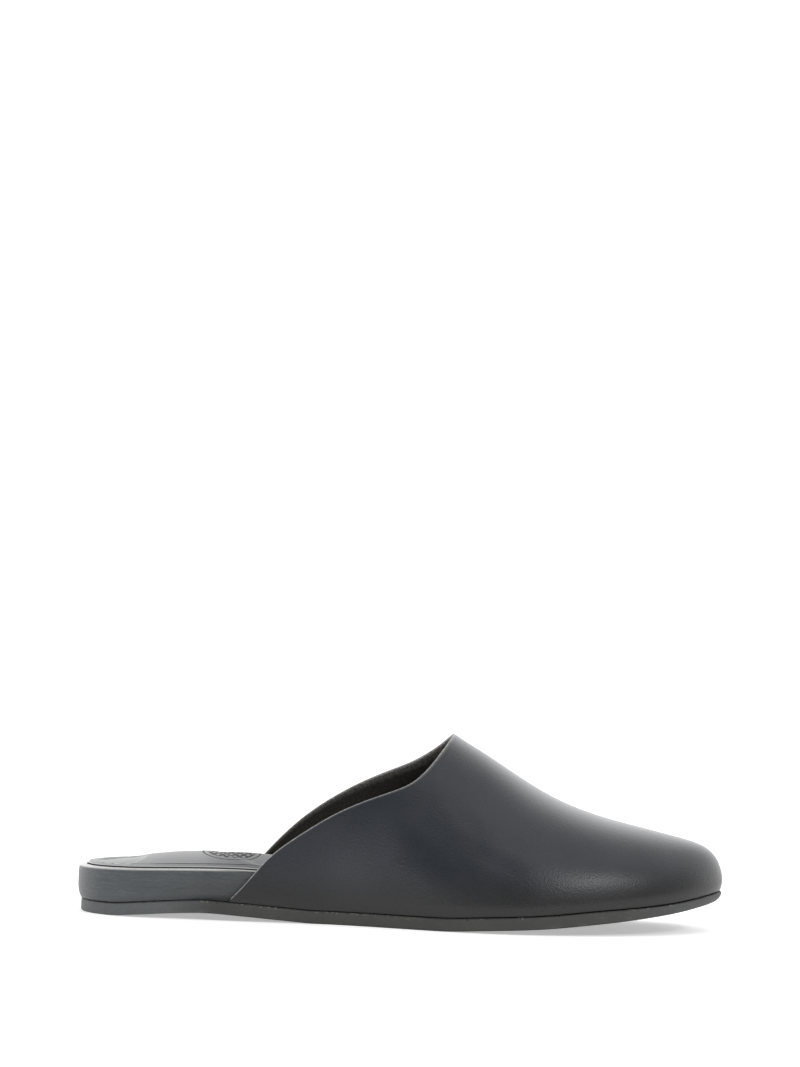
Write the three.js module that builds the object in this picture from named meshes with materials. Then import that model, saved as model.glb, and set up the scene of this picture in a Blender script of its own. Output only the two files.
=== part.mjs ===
// A right mule slipper, empty and standing on its sole: thin rubber outsole, leather-wrapped
// footbed, padded insole in the footbed's well, and a hollow one-piece leather upper.
// Millimetres. The toe points to +Y, the outer side of the foot is +X, the floor is Z = 0, and
// the origin lies on the floor under the middle of the shoe. Tables below measure y from the
// back of the footbed and x from the middle of the heel.
import * as THREE from "three";

const { clamp, lerp, smoothstep } = THREE.MathUtils;

// ---- Driving dimensions ----
const TOE_Y = 288.2; // foremost point of the upper
const OUTSOLE_THICKNESS = 5.7;
const TOE_SKIVE = { thinner: 1.4, from: 225, to: 272 };
const UPPER_WALL = 1.8;
const PIECE_GAP = 0.3; // between pieces that are glued or lie on each other
const WING_Y = 68.4; // where the topline meets the outsole, both sides
const WING_TIP = 0.5; // the wing's corner is blunted this much
const THROAT_Y = 165.6; // where the topline crosses the instep

// The upper bulges past its own bottom edge, little at the wings and most at the toe.
const OVERHANG = { atWing: 0.2, atToe: 1.0, from: 90, to: 180, height: 6 };

// The outsole stops inside the footbed's wall at the heel and shows as a lip round the upper.
const OUTSOLE_EDGE = { undercut: 1.6, lip: 0.7, from: 38, to: 78, bevel: 0.8 };

// Footbed's rim, from its wall to the well; inside the upper it is wider and its wall leans.
const FOOTBED_RIM = { width: 3.6, more: 0.8, drop: 2.2, lean: 0.1 };
const COVERED = { from: 55, to: 85 }; // where the upper comes to hide the footbed

// The insole stands in the well with a groove round it, and its top edge is bevelled.
const INSOLE_EDGE = { groove: 0.5, bevel: 0.8, below: 0.7, above: 0.2 };

// Plan of the widest line of the shoe: half widths to the outer and inner side.
const PLAN = [
  { y: -2.3, outer: 35.9, inner: 35.7 },
  { y: 30, outer: 35.9, inner: 35.7 },
  { y: 60, outer: 35.4, inner: 32.9 },
  { y: 90, outer: 34.4, inner: 28.1 },
  { y: 115, outer: 35.6, inner: 27.2 },
  { y: 142, outer: 44.1, inner: 32.6 },
  { y: 169, outer: 53.2, inner: 40.6 },
  { y: 195, outer: 57.0, inner: 45.2 },
  { y: 225, outer: 57.6, inner: 46.8 },
  { y: 290, outer: 57.0, inner: 46.5 },
];
const HEEL_Y = PLAN[0].y;
const HEEL_ROUND = { length: 38, power: 2.12 };
const TOE_ROUND = { from: 190, outerPower: 1.85, innerPower: 2.6 };
const TOE_SWING = { from: 110, inward: 7 }; // the last curves inward to the toe

// Underside of the outsole: heel flat, arch, tread flat, toe spring.
const UNDERSIDE = [
  { y: -4, z: 0 },
  { y: 14, z: 0 },
  { y: 29, z: 1.1 },
  { y: 42, z: 2.1 },
  { y: 58, z: 2.9 },
  { y: 75, z: 2.1 },
  { y: 92, z: 0.9 },
  { y: 108, z: 0 },
  { y: 160, z: 0 },
  { y: 182, z: 1.1 },
  { y: 207, z: 2.6 },
  { y: 226, z: 4.5 },
  { y: 242, z: 6.3 },
  { y: 263, z: 9.2 },
  { y: 290, z: 14.2 },
];

// Top of the footbed's rim above the floor.
const RIM = [
  { y: -4, z: 20.6 },
  { y: 16, z: 21.1 },
  { y: 43, z: 21.9 },
  { y: 62, z: 22.3 },
  { y: 80, z: 22.0 },
  { y: 105, z: 19.6 },
  { y: 135, z: 16.0 },
  { y: 165, z: 13.7 },
  { y: 190, z: 13.4 },
  { y: 215, z: 14.7 },
  { y: 240, z: 16.8 },
  { y: 263, z: 19.8 },
  { y: 290, z: 24.6 },
];

// Footbed's wall: share of its height, and how far it lies in from its fullest line.
const FOOTBED_WALL = [
  { share: 0, inset: 1.3 },
  { share: 0.18, inset: 0.4 },
  { share: 0.4, inset: 0 },
  { share: 0.7, inset: 0 },
  { share: 0.88, inset: 0.2 },
  { share: 0.96, inset: 0.7 },
  { share: 1, inset: 1.7 },
];

// Crown of the insole above the rim: low at the ends, a soft hump from heel to waist.
const CROWN = [
  { y: -4, z: 2.2 },
  { y: 25, z: 2.6 },
  { y: 55, z: 3.9 },
  { y: 85, z: 3.9 },
  { y: 130, z: 3.0 },
  { y: 200, z: 2.0 },
  { y: 290, z: 1.8 },
];
const CROWN_ENDS = 30; // it rises over this length at the heel and at the toe

// Ridge of the last, highest line of each section, carried on behind the throat.
const RIDGE = [
  { y: 60, z: 130 },
  { y: 100, z: 119 },
  { y: 140, z: 101.5 },
  { y: 168.2, z: 82.3 },
  { y: 179.2, z: 75.8 },
  { y: 193.9, z: 66.7 },
  { y: 208.5, z: 58.3 },
  { y: 223.1, z: 52.1 },
  { y: 237.6, z: 47.8 },
  { y: 252, z: 44.5 },
  { y: 266.5, z: 41.2 },
  { y: 290, z: 36.2 },
];
const RIDGE_X = { x: -5.5, toeShift: -1.5, from: 230 };
const TOE_BOX = { length: 45, power: 9.6, round: 1 / 2.2 };

// Powers of each section: across, and up. Two and two is an ellipse.
const SECTION = [
  { y: 60, across: 2.0, up: 2.0 },
  { y: 100, across: 2.0, up: 2.0 },
  { y: 150, across: 2.0, up: 1.6 },
  { y: 172, across: 2.0, up: 1.55 },
  { y: 200, across: 2.1, up: 1.8 },
  { y: 240, across: 2.3, up: 2.1 },
  { y: 290, across: 2.3, up: 2.2 },
];

// Height of the cut topline on each side of the foot.
const TOPLINE = [
  { y: 75, outer: 15.6, inner: 16.4 },
  { y: 84, outer: 26.4, inner: 27.2 },
  { y: 97.5, outer: 37.7, inner: 41.2 },
  { y: 111.6, outer: 47.0, inner: 51.9 },
  { y: 125.8, outer: 54.2, inner: 60.1 },
  { y: 140, outer: 59.9, inner: 66.5 },
  { y: 148, outer: 64.0, inner: 70.2 },
  { y: 154.5, outer: 69.9, inner: 74.2 },
  { y: 161, outer: 77.9, inner: 79.3 },
];

// Mesh fineness.
const OUTLINE_STEPS = 48; // stations from heel to toe
const UPPER_STEPS = 64; // round the upper, wing to wing
const UPPER_ROWS = 15; // from its bottom edge to the topline
const ROW_CROWDING = 1.5; // rows lie closer together towards the bottom edge
const INSOLE_ROWS = 10; // across the insole
const PATH_STEPS = 80; // fine steps that the upper's rows are measured on
const SLOPE_STEP = 0.02; // for the slopes of curves and of the last

// ---- Curves through the tables ----

/** Smooth curve through the rows (natural cubic spline). */
function spline(rows, column) {
  const n = rows.length;
  const bend = new Array(n).fill(0);
  const above = new Array(n).fill(0);
  for (let i = 1; i < n - 1; i += 1) {
    const before = rows[i].y - rows[i - 1].y;
    const after = rows[i + 1].y - rows[i].y;
    const rise = (rows[i + 1][column] - rows[i][column]) / after;
    const fall = (rows[i][column] - rows[i - 1][column]) / before;
    const pivot = 2 * (before + after) - before * above[i - 1];
    above[i] = after / pivot;
    bend[i] = (6 * (rise - fall) - before * bend[i - 1]) / pivot;
  }
  for (let i = n - 2; i > 0; i -= 1) {
    bend[i] -= above[i] * bend[i + 1];
  }
  return (y) => {
    const i = span(rows, y);
    const width = rows[i + 1].y - rows[i].y;
    const s = y - rows[i].y;
    const chord = (rows[i + 1][column] - rows[i][column]) / width;
    const start = chord - (width * (2 * bend[i] + bend[i + 1])) / 6;
    const change = (bend[i + 1] - bend[i]) / (6 * width);
    return rows[i][column] + s * start + (s * s * bend[i]) / 2 + s ** 3 * change;
  };
}

/** Curve through the rows that never overshoots, so that flats stay flat. */
function steady(rows, column) {
  const width = rows.slice(1).map((row, i) => row.y - rows[i].y);
  const rise = rows.slice(1).map((row, i) => (row[column] - rows[i][column]) / width[i]);
  const slope = rows.map((row, i) => {
    if (i === 0) return rise[0];
    if (i === rows.length - 1) return rise[i - 1];
    if (rise[i - 1] * rise[i] <= 0) return 0;
    const w1 = 2 * width[i] + width[i - 1];
    const w2 = width[i] + 2 * width[i - 1];
    return (w1 + w2) / (w1 / rise[i - 1] + w2 / rise[i]);
  });
  return (y) => {
    const i = span(rows, y);
    const t = THREE.MathUtils.clamp((y - rows[i].y) / width[i], 0, 1);
    const a = rows[i][column] * (1 + 2 * t) * (1 - t) ** 2;
    const b = rows[i + 1][column] * t * t * (3 - 2 * t);
    const c = width[i] * slope[i] * t * (1 - t) ** 2;
    const d = width[i] * slope[i + 1] * t * t * (1 - t);
    return a + b + c - d;
  };
}

function span(rows, y) {
  const next = rows.findIndex((row) => row.y > y);
  const last = rows.length - 2;
  return next < 0 ? last : THREE.MathUtils.clamp(next - 1, 0, last);
}

// ---- The last ----

const halfWidth = { outer: spline(PLAN, "outer"), inner: spline(PLAN, "inner") };
const underside = steady(UNDERSIDE, "z");
const rimHeight = spline(RIM, "z");
const ridgeHeight = spline(RIDGE, "z");
const crownHeight = spline(CROWN, "z");
const powerAcross = steady(SECTION, "across");
const powerUp = steady(SECTION, "up");

/** Top of the outsole, which everything else stands on. */
function featherHeight(y) {
  const skive = TOE_SKIVE.thinner * smoothstep(y, TOE_SKIVE.from, TOE_SKIVE.to);
  return underside(y) + OUTSOLE_THICKNESS - skive;
}

/** Middle of the plan, straight from the heel and curving inward to the toe. */
function middle(y) {
  const t = clamp((y - TOE_SWING.from) / (TOE_Y - TOE_SWING.from), 0, 1);
  return -TOE_SWING.inward * t * t;
}

/** Share of the half width left where heel and toe round off. */
function roundOff(y, side) {
  const back = clamp(1 - (y - HEEL_Y) / HEEL_ROUND.length, 0, 1);
  const front = clamp((y - TOE_ROUND.from) / (TOE_Y - TOE_ROUND.from), 0, 1);
  const power = side > 0 ? TOE_ROUND.outerPower : TOE_ROUND.innerPower;
  const heel = (1 - back ** HEEL_ROUND.power) ** (1 / HEEL_ROUND.power);
  return heel * Math.sqrt(Math.max(1 - front ** power, 0));
}

/** Distance from the middle of the plan to the side, before heel and toe round off. */
function reach(y, side) {
  return side > 0 ? halfWidth.outer(y) : halfWidth.inner(y);
}

/** x of the widest line: side is +1 on the outer side, -1 on the inner. */
function edgeX(y, side) {
  return middle(y) + side * reach(y, side) * roundOff(y, side);
}

function ridgeX(y) {
  return RIDGE_X.x + RIDGE_X.toeShift * smoothstep(y, RIDGE_X.from, TOE_Y);
}

function upperBottom(y) {
  return featherHeight(y) + PIECE_GAP;
}

/** Height of the ridge over the upper's bottom edge, rounded down at the toe. */
function sectionHeight(y) {
  const t = clamp((y - TOE_Y + TOE_BOX.length) / TOE_BOX.length, 0, 1);
  return (ridgeHeight(y) - upperBottom(y)) * (1 - t ** TOE_BOX.power) ** TOE_BOX.round;
}

/** Zero on the outside of the last, negative inside. */
function lastLevel(x, y, z) {
  const side = x > ridgeX(y) ? 1 : -1;
  const across = Math.abs(x - ridgeX(y)) / Math.abs(edgeX(y, side) - ridgeX(y));
  const up = clamp((z - upperBottom(y)) / sectionHeight(y), 0, 2);
  return across ** powerAcross(y) + up ** powerUp(y) - 1;
}

/** Height of the last's outside over a point of its plan. */
function lastHeight(x, y) {
  const side = x > ridgeX(y) ? 1 : -1;
  const width = Math.max(Math.abs(edgeX(y, side) - ridgeX(y)), 1e-6);
  const across = clamp(Math.abs(x - ridgeX(y)) / width, 0, 1);
  return upperBottom(y) + sectionHeight(y) * (1 - across ** powerAcross(y)) ** (1 / powerUp(y));
}

/** x of the last's outside at a height. */
function lastX(y, z, side) {
  const up = clamp((z - upperBottom(y)) / sectionHeight(y), 0, 1);
  const share = (1 - up ** powerUp(y)) ** (1 / powerAcross(y));
  return ridgeX(y) + (edgeX(y, side) - ridgeX(y)) * share;
}

/** Outward normal of the last, from the slope of its level function. */
function lastNormal(x, y, z) {
  const step = SLOPE_STEP;
  const yIn = Math.min(y, TOE_Y - 3 * step);
  return new THREE.Vector3(
    lastLevel(x + step, yIn, z) - lastLevel(x - step, yIn, z),
    lastLevel(x, yIn + step, z) - lastLevel(x, yIn - step, z),
    lastLevel(x, yIn, z + step) - lastLevel(x, yIn, z - step),
  ).normalize();
}

/** Outward normal of the widest line, level with the floor. */
function edgeNormal(y, side) {
  const step = Math.min(SLOPE_STEP, (TOE_Y - y) / 2);
  if (step < 1e-6) {
    return new THREE.Vector3(0, 1, 0);
  }
  const slope = (edgeX(y + step, side) - edgeX(y - step, side)) / (2 * step);
  return new THREE.Vector3(side, -side * slope, 0).normalize();
}

function overhang(y) {
  return lerp(OVERHANG.atWing, OVERHANG.atToe, smoothstep(y, OVERHANG.from, OVERHANG.to));
}

/** How far the footbed's wall lies inside the widest line. */
function wallInset(y) {
  return overhang(y) + UPPER_WALL + PIECE_GAP;
}

function outsoleInset(y) {
  const lip = UPPER_WALL + PIECE_GAP + OUTSOLE_EDGE.lip;
  const toLip = smoothstep(y, OUTSOLE_EDGE.from, OUTSOLE_EDGE.to);
  return wallInset(y) + lerp(OUTSOLE_EDGE.undercut, -lip, toLip);
}

/** 1 where the upper hides the footbed, 0 at the heel. */
function covered(y) {
  return smoothstep(y, COVERED.from, COVERED.to);
}

function wellInset(y) {
  return wallInset(y) + FOOTBED_RIM.width + FOOTBED_RIM.more * covered(y);
}

function wellFloor(y) {
  return rimHeight(y) - FOOTBED_RIM.drop;
}

/** Height of the insole's crown, t from 0 to 1 across it between its heel and toe ends. */
function crownRise(y, t, heelEnd, toeEnd) {
  const ends = Math.min((y - heelEnd) / CROWN_ENDS, (toeEnd - y) / CROWN_ENDS, 1);
  return crownHeight(y) * (1 - (2 * t - 1) ** 2) * Math.sqrt(1 - (1 - ends) ** 2);
}

// ---- Loops and solids ----

/** The widest line moved inward by inset(y): heel, outer side, toe, inner side. */
function outline(inset) {
  const station = (i) => {
    const turn = (Math.PI * i) / OUTLINE_STEPS;
    const y = lerp(HEEL_Y, TOE_Y, (1 - Math.cos(turn)) / 2);
    return new THREE.Vector2(edgeX(y, Math.sin(turn) >= 0 ? 1 : -1), y);
  };
  return Array.from({ length: 2 * OUTLINE_STEPS }, (_, i) => {
    const here = station(i);
    const along = station(i + SLOPE_STEP).sub(station(i - SLOPE_STEP)).normalize();
    const distance = inset(here.y);
    return new THREE.Vector2(here.x - along.y * distance, here.y + along.x * distance);
  });
}

class Skin {
  constructor() {
    this.points = [];
    this.triangles = [];
  }

  add(x, y, z) {
    this.points.push(x, y, z);
    return this.points.length / 3 - 1;
  }

  quad(a, b, c, d) {
    this.triangles.push(a, b, c, a, c, d);
  }

  /** A closed loop of points with its heights. */
  ring(loop, height) {
    return loop.map((p, i) => this.add(p.x, p.y, height(p.y, i)));
  }

  /** Wall between two rings, the second one above or inside the first. */
  band(lower, upper) {
    lower.forEach((a, i) => {
      const j = (i + 1) % lower.length;
      this.quad(a, lower[j], upper[j], upper[i]);
    });
  }

  /** Closes a ring across the shoe, straight from side to side. */
  lid(ring, up) {
    const n = ring.length / 2;
    for (let i = 0; i < n; i += 1) {
      const corners = [ring[i], ring[i + 1], ring[2 * n - i - 1], ring[(2 * n - i) % (2 * n)]];
      this.face(up ? corners : corners.reverse());
    }
  }

  /** A face of up to four corners; repeated corners are dropped. */
  face(corners) {
    const own = corners.filter((corner, i) => corners.indexOf(corner) === i);
    for (let i = 2; i < own.length; i += 1) {
      this.triangles.push(own[0], own[i - 1], own[i]);
    }
  }

  mesh(name, material) {
    const geometry = new THREE.BufferGeometry();
    geometry.setAttribute("position", new THREE.Float32BufferAttribute(this.points, 3));
    geometry.setIndex(this.triangles);
    geometry.computeVertexNormals();
    const mesh = new THREE.Mesh(geometry, material);
    mesh.name = name;
    return mesh;
  }
}

// ---- Outsole: one rubber sheet with softened edges ----

function outsole() {
  const bevel = OUTSOLE_EDGE.bevel;
  const skin = new Skin();
  const full = outline(outsoleInset);
  const rings = [
    skin.ring(outline((y) => outsoleInset(y) + bevel), underside),
    skin.ring(full, (y) => underside(y) + bevel),
    skin.ring(full, (y) => featherHeight(y) - bevel / 2),
    skin.ring(outline((y) => outsoleInset(y) + bevel / 2), featherHeight),
  ];
  skin.lid(rings[0], false);
  rings.slice(1).forEach((ring, i) => skin.band(rings[i], ring));
  skin.lid(rings.at(-1), true);
  const rubber = new THREE.MeshStandardMaterial({ color: 0x3f3e3d, roughness: 0.8, metalness: 0 });
  return skin.mesh("outsole", rubber);
}

// ---- Footbed: wall, rounded rim and the well for the insole ----

function footbed() {
  const skin = new Skin();
  const bottom = (y) => featherHeight(y) + PIECE_GAP;
  const fullest = FOOTBED_WALL.find((row) => row.inset === 0).share;
  const rings = FOOTBED_WALL.map(({ share, inset }) => {
    const height = (y) => lerp(bottom(y), rimHeight(y), share);
    const shape = (y) => {
      const lean = FOOTBED_RIM.lean * (height(y) - bottom(y)) * covered(y);
      const pulledIn = share < fullest ? inset * (1 - covered(y)) : inset;
      return wallInset(y) + pulledIn + lean;
    };
    return skin.ring(outline(shape), height);
  });
  const well = outline(wellInset);
  rings.push(skin.ring(well, rimHeight));
  rings.push(skin.ring(well, wellFloor));
  skin.lid(rings[0], false);
  rings.slice(1).forEach((ring, i) => skin.band(rings[i], ring));
  skin.lid(rings.at(-1), true);
  const leather = new THREE.MeshStandardMaterial({ color: 0x54575b, roughness: 0.6, metalness: 0 });
  return skin.mesh("footbed", leather);
}

// ---- Insole: padded leather sock with a crowned top ----

/** Rows across the insole from heel to toe, crowned between the two sides of its top ring. */
function crownRows(skin, top, shoulder) {
  const n = OUTLINE_STEPS;
  return Array.from({ length: n + 1 }, (_, i) => {
    const j = (2 * n - i) % (2 * n);
    return Array.from({ length: INSOLE_ROWS + 1 }, (_, k) => {
      if (i === j || k === 0) return top[i];
      if (k === INSOLE_ROWS) return top[j];
      const t = k / INSOLE_ROWS;
      const p = shoulder[i].clone().lerp(shoulder[j], t);
      const rise = INSOLE_EDGE.above + crownRise(p.y, t, shoulder[0].y, shoulder[n].y);
      return skin.add(p.x, p.y, rimHeight(p.y) + rise);
    });
  });
}

function insole() {
  const skin = new Skin();
  const side = (y) => wellInset(y) + INSOLE_EDGE.groove;
  const shoulder = outline((y) => side(y) + INSOLE_EDGE.bevel);
  const lower = skin.ring(outline(side), (y) => wellFloor(y) + PIECE_GAP);
  const upper = skin.ring(outline(side), (y) => rimHeight(y) - INSOLE_EDGE.below);
  const top = skin.ring(shoulder, (y) => rimHeight(y) + INSOLE_EDGE.above);
  skin.lid(lower, false);
  skin.band(lower, upper);
  skin.band(upper, top);
  const rows = crownRows(skin, top, shoulder);
  rows.slice(1).forEach((row, i) => {
    for (let k = 0; k < INSOLE_ROWS; k += 1) {
      skin.face([rows[i][k], row[k], row[k + 1], rows[i][k + 1]]);
    }
  });
  const sock = new THREE.MeshStandardMaterial({ color: 0x76797c, roughness: 0.5, metalness: 0 });
  return skin.mesh("insole", sock);
}

// ---- Upper: hollow vamp, open behind the topline and underneath ----

const toplineRows = [
  { y: WING_Y, outer: upperBottom(WING_Y), inner: upperBottom(WING_Y) },
  ...TOPLINE,
  { y: THROAT_Y, outer: ridgeHeight(THROAT_Y), inner: ridgeHeight(THROAT_Y) },
];
const toplineHeight = { outer: spline(toplineRows, "outer"), inner: spline(toplineRows, "inner") };

/** A point of the topline, share 0 at the wing and 1 at the throat. */
function toplinePoint(share, side) {
  const y = lerp(WING_Y + WING_TIP, THROAT_Y, Math.sin((share * Math.PI) / 2));
  const z = Math.min(side > 0 ? toplineHeight.outer(y) : toplineHeight.inner(y), ridgeHeight(y));
  return { x: share < 1 ? lastX(y, z, side) : ridgeX(y), y };
}

/** A point of the bottom edge, share 0 at the wing and 1 at the toe. */
function bottomPoint(share, side) {
  const y = lerp(WING_Y, TOE_Y, Math.sin((share * Math.PI) / 2));
  return { x: edgeX(y, side), y };
}

/** Points up the outside of the upper, from the bottom edge to the topline. */
function upperRay(share, side) {
  const toStraight = ({ x, y }) => {
    const half = x > middle(y) ? 1 : -1;
    return { v: (x - middle(y)) / reach(y, half), y };
  };
  const start = toStraight(bottomPoint(share, side));
  const end = toStraight(toplinePoint(share, side));
  const path = Array.from({ length: PATH_STEPS + 1 }, (_, k) => {
    const t = (k / PATH_STEPS) ** 2;
    const y = lerp(start.y, end.y, t);
    const v = lerp(start.v, end.v, t);
    const x = middle(y) + v * reach(y, v > 0 ? 1 : -1);
    return new THREE.Vector3(x, y, k === 0 ? upperBottom(y) : lastHeight(x, y));
  });
  const length = [0];
  path.slice(1).forEach((p, k) => length.push(length[k] + p.distanceTo(path[k])));
  return Array.from({ length: UPPER_ROWS + 1 }, (_, row) => {
    const target = length.at(-1) * (row / UPPER_ROWS) ** ROW_CROWDING;
    const k = clamp(length.findIndex((l) => l >= target) - 1, 0, PATH_STEPS - 1);
    const t = (target - length[k]) / (length[k + 1] - length[k]);
    return path[k].clone().lerp(path[k + 1], clamp(t, 0, 1));
  });
}

/** Point numbers up both faces of the wall, at one place round the upper. */
function wallColumn(skin, share, side) {
  const pairs = upperRay(share, side).map((p, row) => {
    const normal = row === 0 ? edgeNormal(p.y, side) : lastNormal(p.x, p.y, p.z);
    const low = clamp(1 - (p.z - upperBottom(p.y)) / OVERHANG.height, 0, 1);
    const tuck = new THREE.Vector3(normal.x, normal.y, 0).normalize();
    const outer = p.clone().addScaledVector(tuck, -overhang(p.y) * low * low);
    const inner = outer.clone().addScaledVector(normal, -UPPER_WALL);
    return [skin.add(...outer), skin.add(...inner)];
  });
  return { out: pairs.map((pair) => pair[0]), in: pairs.map((pair) => pair[1]) };
}

function upper() {
  const skin = new Skin();
  const columns = Array.from({ length: UPPER_STEPS + 1 }, (_, i) => {
    const turn = 1 - (2 * i) / UPPER_STEPS;
    return wallColumn(skin, 1 - Math.abs(turn), turn >= 0 ? 1 : -1);
  });
  const top = UPPER_ROWS;
  columns.slice(1).forEach((b, i) => {
    const a = columns[i];
    for (let k = 0; k < top; k += 1) {
      skin.quad(a.out[k], b.out[k], b.out[k + 1], a.out[k + 1]);
      skin.quad(a.in[k], a.in[k + 1], b.in[k + 1], b.in[k]);
    }
    skin.quad(a.out[0], a.in[0], b.in[0], b.out[0]);
    skin.quad(a.out[top], b.out[top], b.in[top], a.in[top]);
  });
  const first = columns[0];
  const last = columns.at(-1);
  for (let k = 0; k < top; k += 1) {
    skin.quad(first.out[k], first.out[k + 1], first.in[k + 1], first.in[k]);
    skin.quad(last.out[k], last.in[k], last.in[k + 1], last.out[k + 1]);
  }
  const leather = new THREE.MeshStandardMaterial({ color: 0x3a3d42, roughness: 0.55, metalness: 0 });
  return skin.mesh("upper", leather);
}

// ---- The shoe ----

const shoe = new THREE.Group();
shoe.name = "mule_shoe";
shoe.add(outsole(), footbed(), insole(), upper());
const box = new THREE.Box3().setFromObject(shoe, true);
const centre = box.getCenter(new THREE.Vector3());
shoe.position.set(-centre.x, -centre.y, 0);

export default shoe;
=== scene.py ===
# A right mule slipper in dark leather, standing empty on its sole, in a plain white studio.
import math

import bpy
import numpy as np
from mathutils import Matrix, Vector


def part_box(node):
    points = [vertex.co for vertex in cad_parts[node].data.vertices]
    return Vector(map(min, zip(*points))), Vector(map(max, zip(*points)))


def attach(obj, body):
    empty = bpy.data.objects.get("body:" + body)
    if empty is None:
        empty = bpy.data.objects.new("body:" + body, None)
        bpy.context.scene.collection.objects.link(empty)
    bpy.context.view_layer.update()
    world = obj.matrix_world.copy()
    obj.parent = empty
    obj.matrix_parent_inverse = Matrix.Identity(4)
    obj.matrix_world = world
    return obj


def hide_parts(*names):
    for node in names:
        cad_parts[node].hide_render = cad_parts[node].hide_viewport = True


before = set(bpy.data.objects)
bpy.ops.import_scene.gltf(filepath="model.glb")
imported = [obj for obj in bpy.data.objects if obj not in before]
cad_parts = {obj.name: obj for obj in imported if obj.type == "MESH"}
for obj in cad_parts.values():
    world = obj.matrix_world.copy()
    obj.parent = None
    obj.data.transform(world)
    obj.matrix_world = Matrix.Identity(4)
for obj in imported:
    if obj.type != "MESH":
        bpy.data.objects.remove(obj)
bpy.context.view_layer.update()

# ---------------------------------------------------------------------------------------------
# Outsole: one sheet of dark rubber, 5.7 mm thick, cut round the last by hand with a knife and
# glued under the whole shoe. The heel and the tread lie flat on the floor, the waist arches
# over it and the toe springs up. Its cut edge is matt and a little nicked.
# ---------------------------------------------------------------------------------------------
# The last is described in millimetres: y from the back of the footbed, x from the heel's middle.
MM = 0.001
TOE_Y = 288.2
PLAN = {
    "y": (-2.3, 30, 60, 90, 115, 142, 169, 195, 225, 290),
    "outer": (35.9, 35.9, 35.4, 34.4, 35.6, 44.1, 53.2, 57.0, 57.6, 57.0),
    "inner": (35.7, 35.7, 32.9, 28.1, 27.2, 32.6, 40.6, 45.2, 46.8, 46.5),
}
HEEL_Y = PLAN["y"][0]
HEEL_ROUND = {"length": 38, "power": 2.12}
TOE_ROUND = {"from": 190, "outer": 1.85, "inner": 2.6}
TOE_SWING = {"from": 110, "inward": 7}
UNDERSIDE = {
    "y": (-4, 14, 29, 42, 58, 75, 92, 108, 160, 182, 207, 226, 242, 263, 290),
    "z": (0, 0, 1.1, 2.1, 2.9, 2.1, 0.9, 0, 0, 1.1, 2.6, 4.5, 6.3, 9.2, 14.2),
}
OUTSOLE_THICKNESS = 5.7
TOE_SKIVE = {"thinner": 1.4, "from": 225, "to": 272}
TOE_NOSE = {"depth": 2.4, "from": 262, "to": 287}
UPPER_WALL = 1.8
PIECE_GAP = 0.3
OUTSOLE_LIP = 0.7
HEEL_UNDERCUT = 1.6
OVERHANG = {"wing": 0.2, "toe": 1.0}
EDGE_PROFILE = (  # share of the thickness, and how far the edge lies in there
    (0, 1.1), (0.02, 0.5), (0.09, 0.12), (0.22, 0), (0.42, 0.03),
    (0.62, 0.03), (0.8, 0), (0.9, 0.06), (0.96, 0.25), (1, 0.6),
)
STATIONS = 300


def smooth(table, column):
    """A curve through the rows of a table with no sudden change of bend."""
    y, z = np.array(table["y"], float), np.array(table[column], float)
    width = np.diff(y)
    rise = np.diff(z) / width
    system, bend = np.eye(len(y)), np.zeros(len(y))
    for i in range(1, len(y) - 1):
        system[i, i - 1 : i + 2] = width[i - 1], 2 * (width[i - 1] + width[i]), width[i]
        bend[i] = 6 * (rise[i] - rise[i - 1])
    bend = np.linalg.solve(system, bend)

    def curve(at):
        i = np.clip(np.searchsorted(y, at, "right") - 1, 0, len(y) - 2)
        s = at - y[i]
        start = rise[i] - width[i] * (2 * bend[i] + bend[i + 1]) / 6
        change = (bend[i + 1] - bend[i]) / (6 * width[i])
        return z[i] + s * start + s**2 * bend[i] / 2 + s**3 * change

    return curve


def steady(table, column):
    """A curve through the rows of a table that keeps flat stretches flat."""
    y, z = np.array(table["y"], float), np.array(table[column], float)
    width = np.diff(y)
    rise = np.diff(z) / width
    slope = np.concatenate([rise[:1], np.zeros(len(y) - 2), rise[-1:]])
    for i in range(1, len(y) - 1):
        if rise[i - 1] * rise[i] > 0:
            w1, w2 = 2 * width[i] + width[i - 1], width[i] + 2 * width[i - 1]
            slope[i] = (w1 + w2) / (w1 / rise[i - 1] + w2 / rise[i])

    def curve(at):
        i = np.clip(np.searchsorted(y, at, "right") - 1, 0, len(y) - 2)
        t = np.clip((at - y[i]) / width[i], 0, 1)
        ends = z[i] * (1 + 2 * t) * (1 - t) ** 2 + z[i + 1] * t * t * (3 - 2 * t)
        return ends + width[i] * t * (1 - t) * (slope[i] * (1 - t) - slope[i + 1] * t)

    return curve


def blend(at, low, high):
    """0 below low, 1 above high and smooth between."""
    t = np.clip((at - low) / (high - low), 0, 1)
    return t * t * (3 - 2 * t)


def wander(at, *waves):
    """A slow unevenness: the sum of waves given as (length, height, start)."""
    return sum(h * np.sin(2 * math.pi * (at / length + start)) for length, h, start in waves)


half_outer, half_inner = smooth(PLAN, "outer"), smooth(PLAN, "inner")
underside = steady(UNDERSIDE, "z")


def thickness(y):
    return OUTSOLE_THICKNESS - TOE_SKIVE["thinner"] * blend(y, TOE_SKIVE["from"], TOE_SKIVE["to"])


def feather(y):
    """Top of the outsole, where the other pieces stand."""
    return underside(y) + thickness(y)


def middle(y):
    swing = np.clip((y - TOE_SWING["from"]) / (TOE_Y - TOE_SWING["from"]), 0, 1)
    return -TOE_SWING["inward"] * swing**2


def reach(y, side):
    return np.where(side > 0, half_outer(y), half_inner(y))


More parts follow.
